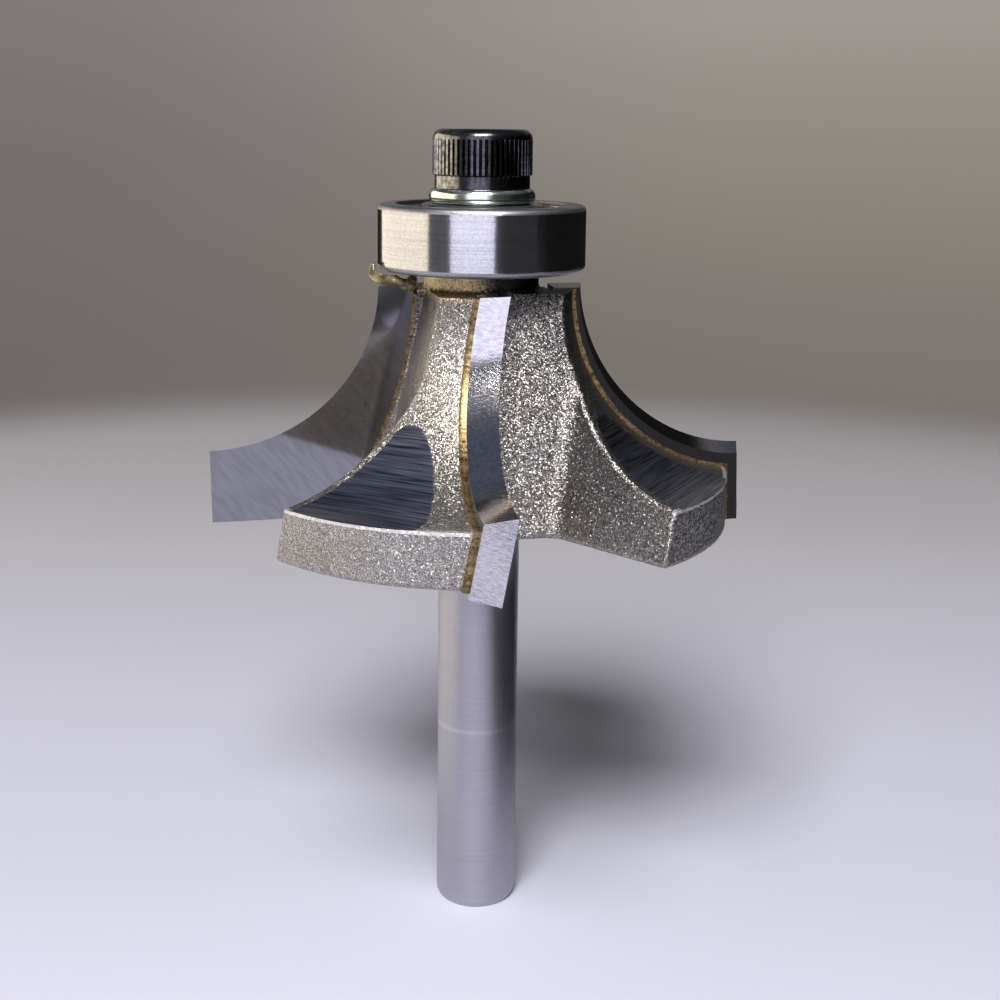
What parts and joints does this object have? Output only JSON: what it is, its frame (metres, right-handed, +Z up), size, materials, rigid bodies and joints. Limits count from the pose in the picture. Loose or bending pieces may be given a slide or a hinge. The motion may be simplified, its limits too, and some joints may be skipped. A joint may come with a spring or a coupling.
{
  "type": "router bit",
  "caption": "Round-over router bit: steel body with carbide-tipped wings on a straight shank, and a ball-bearing pilot held by a washer and a socket cap screw.",
  "frame": {"origin": "centre of the shank's end face, which the bit stands on", "axes": "+Z up the shank towards the pilot bearing, +X along the first wing; seen from +Z the bit cuts counter-clockwise"},
  "size_m": [0.0414, 0.0414, 0.0618],
  "materials": {
    "body_steel": "sandblasted, with ground facets and a ground shank",
    "carbide": "ground cemented carbide",
    "braze": "silver braze with a golden tint",
    "bearing_ring": "ground",
    "inner_ring": "ground",
    "bearing_ball": "polished",
    "bearing_cage": "stamped",
    "bearing_shield": "stamped, oiled",
    "snap_wire": "drawn wire",
    "zinc_plate": "zinc plated with a yellow and blue tint",
    "black_oxide": "black oxide"
  },
  "bodies": {
    "cutter": {"cutter_body": "body_steel", "carbide_blade_1": "carbide", "carbide_blade_2": "carbide", "carbide_blade_3": "carbide", "carbide_blade_4": "carbide", "braze_layer_1": "braze", "braze_layer_2": "braze", "braze_layer_3": "braze", "braze_layer_4": "braze", "bearing_inner_ring": "inner_ring", "washer": "zinc_plate", "cap_screw": "black_oxide"},
    "outer_race": {"bearing_outer_ring": "bearing_ring", "bearing_shield_lower": "bearing_shield", "bearing_shield_upper": "bearing_shield", "snap_wire_lower": "snap_wire", "snap_wire_upper": "snap_wire"},
    "ball_cage": {"bearing_cage_lower": "bearing_cage", "bearing_cage_upper": "bearing_cage", "bearing_ball_1": "bearing_ball", "bearing_ball_2": "bearing_ball", "bearing_ball_3": "bearing_ball", "bearing_ball_4": "bearing_ball", "bearing_ball_5": "bearing_ball", "bearing_ball_6": "bearing_ball", "bearing_ball_7": "bearing_ball", "bearing_ball_8": "bearing_ball"}
  },
  "joints": [
    {"name": "pilot_spin", "type": "hinge", "parent": "cutter", "child": "outer_race", "pos_m": [0, 0, 0.05369], "axis": [0, 0, 1], "continuous": true},
    {"name": "cage_spin", "type": "hinge", "parent": "cutter", "child": "ball_cage", "pos_m": [0, 0, 0.05369], "axis": [0, 0, 1], "continuous": true}
  ],
  "couplings": [
    {"joint": "cage_spin", "follows": "pilot_spin", "ratio": 0.60725}
  ]
}
